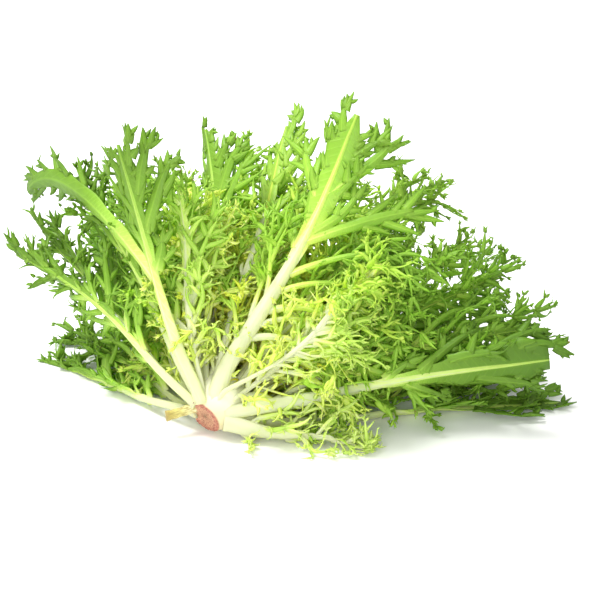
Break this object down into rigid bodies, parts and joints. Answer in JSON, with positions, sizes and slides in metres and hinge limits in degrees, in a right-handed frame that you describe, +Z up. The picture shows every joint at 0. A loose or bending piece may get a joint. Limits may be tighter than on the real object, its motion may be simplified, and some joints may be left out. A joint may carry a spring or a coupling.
{
  "type": "curly endive head",
  "caption": "Whole curly endive lying on its side, with a cut stem, white ribs and finely cut, curled green leaves around a yellow heart.",
  "frame": {"origin": "on the surface that the head lies on, under the middle of its bounding box", "axes": "+X along the head's widest spread, to the right of the cut stem; +Y towards the back, where the heart points; +Z up"},
  "size_m": [0.3424, 0.2162, 0.1934],
  "materials": {
    "crown": "matte",
    "leaf_stub": "matte",
    "outer_leaf": "satin",
    "middle_leaf": "satin",
    "inner_leaf": "satin",
    "heart_leaf": "satin"
  },
  "bodies": {
    "root": {"crown": "crown", "leaf_stub": "leaf_stub", "outer_leaf_1": "outer_leaf", "outer_leaf_2": "outer_leaf", "outer_leaf_3": "outer_leaf", "outer_leaf_4": "outer_leaf", "low_leaf_1": "outer_leaf", "low_leaf_2": "outer_leaf", "low_leaf_3": "outer_leaf", "low_leaf_4": "outer_leaf", "low_leaf_5": "outer_leaf", "low_leaf_6": "outer_leaf", "low_leaf_7": "outer_leaf", "middle_leaf_1": "middle_leaf", "middle_leaf_2": "middle_leaf", "middle_leaf_3": "middle_leaf", "middle_leaf_4": "middle_leaf", "middle_leaf_5": "middle_leaf", "middle_leaf_6": "middle_leaf", "middle_leaf_7": "middle_leaf", "middle_leaf_8": "middle_leaf", "upper_leaf_1": "middle_leaf", "upper_leaf_2": "middle_leaf", "upper_leaf_3": "middle_leaf", "upper_leaf_4": "middle_leaf", "upper_leaf_5": "middle_leaf", "upper_leaf_6": "middle_leaf", "upper_leaf_7": "middle_leaf", "upper_leaf_8": "middle_leaf", "upper_leaf_9": "middle_leaf", "inner_leaf_1": "inner_leaf", "inner_leaf_2": "inner_leaf", "inner_leaf_3": "inner_leaf", "inner_leaf_4": "inner_leaf", "inner_leaf_5": "inner_leaf", "inner_leaf_6": "inner_leaf", "inner_leaf_7": "inner_leaf", "inner_leaf_8": "inner_leaf", "inner_leaf_9": "inner_leaf", "inner_leaf_10": "inner_leaf", "young_leaf_1": "inner_leaf", "young_leaf_2": "inner_leaf", "young_leaf_3": "inner_leaf", "young_leaf_4": "inner_leaf", "young_leaf_5": "inner_leaf", "young_leaf_6": "inner_leaf", "heart_leaf_1": "heart_leaf", "heart_leaf_2": "heart_leaf", "heart_leaf_3": "heart_leaf"}
  },
  "joints": []
}
